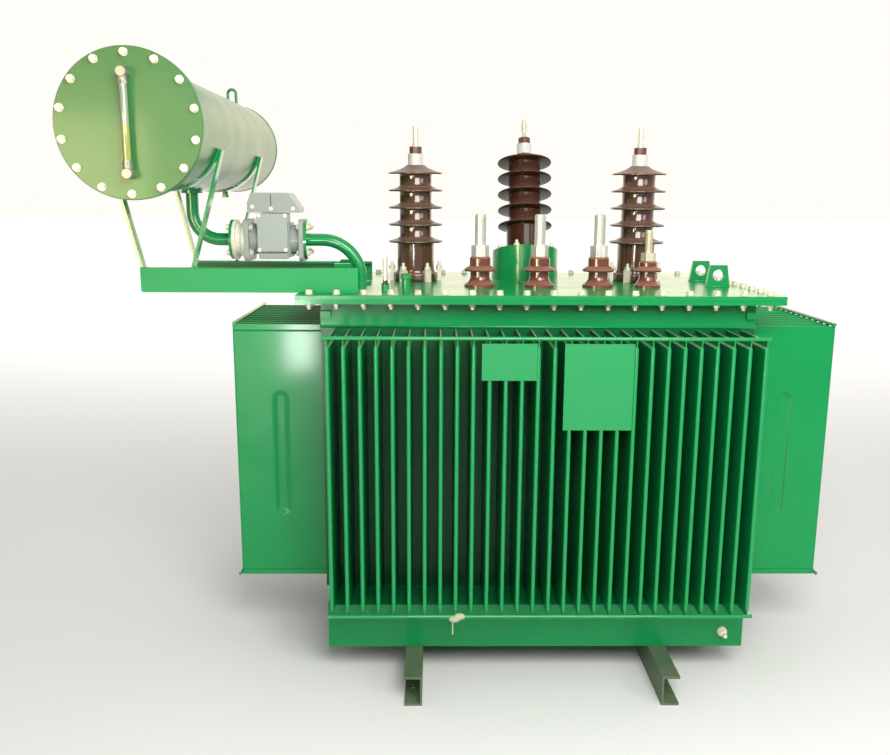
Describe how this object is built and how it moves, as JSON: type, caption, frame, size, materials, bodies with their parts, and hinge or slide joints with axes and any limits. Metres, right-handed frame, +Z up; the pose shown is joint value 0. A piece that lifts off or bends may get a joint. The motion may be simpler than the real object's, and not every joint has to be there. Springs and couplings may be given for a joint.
{
  "type": "power transformer",
  "caption": "Oil-filled power transformer: corrugated tank on rails, conservator drum with gas relay, high- and low-voltage porcelain bushings and lifting lugs on the lid.",
  "frame": {"origin": "on the floor, midway between the base rails and midway along them", "axes": "+X to the right along the tank's long side, away from the conservator; +Y to the back, -Y the front with the low-voltage row; +Z up"},
  "size_m": [2.462, 1.466, 2.0338],
  "materials": {
    "green_paint": "glossy green paint",
    "porcelain": "brown glaze",
    "hv_cap": "cast cap with threaded stud",
    "tinned_copper": "tinned",
    "brass": "dull brass",
    "zinc": "zinc plated",
    "glass": "clear tube",
    "relay_grey": "light grey paint",
    "valve_cream": "cast",
    "gasket_rubber": "painted over"
  },
  "bodies": {
    "root": {"back_fin_bars": "green_paint", "back_fin_wall": "green_paint", "back_left_lifting_lug": "green_paint", "back_right_lifting_lug": "green_paint", "base_frame": "green_paint", "conservator_back": "green_paint", "conservator_cover": "green_paint", "conservator_drum": "green_paint", "drain_plug": "green_paint", "drum_eye": "green_paint", "drum_pipe": "green_paint", "earth_stud": "zinc", "front_beam": "green_paint", "front_cradle_strap": "green_paint", "front_fin_bars": "green_paint", "front_fin_wall": "green_paint", "front_left_leg": "green_paint", "front_left_lifting_lug": "green_paint", "front_right_leg": "green_paint", "front_right_lifting_lug": "green_paint", "gauge_fittings": "zinc", "gauge_glass": "glass", "hv_turret": "green_paint", "left_base_rail": "green_paint", "left_fin_bars": "green_paint", "left_fin_wall": "green_paint", "left_hv_bushing": "porcelain", "left_hv_clamps": "zinc", "left_hv_terminal": "hv_cap", "lid": "green_paint", "lid_gasket": "gasket_rubber", "lid_pipe": "green_paint", "lid_plug": "brass", "lv_bushing_1": "porcelain", "lv_bushing_2": "porcelain", "lv_bushing_3": "porcelain", "lv_terminal_1": "tinned_copper", "lv_terminal_2": "tinned_copper", "lv_terminal_3": "tinned_copper", "middle_hv_bushing": "porcelain", "middle_hv_terminal": "hv_cap", "neutral_bushing": "porcelain", "neutral_terminal": "brass", "pipe_valve": "valve_cream", "rear_beam": "green_paint", "rear_cradle_strap": "green_paint", "rear_left_leg": "green_paint", "rear_right_leg": "green_paint", "relay_body": "relay_grey", "relay_head": "relay_grey", "right_base_rail": "green_paint", "right_fin_bars": "green_paint", "right_fin_wall": "green_paint", "right_hv_bushing": "porcelain", "right_hv_clamps": "zinc", "right_hv_terminal": "hv_cap", "rim_cleats": "green_paint", "tank_rim": "green_paint", "thermometer_pocket": "green_paint"}
  },
  "joints": []
}
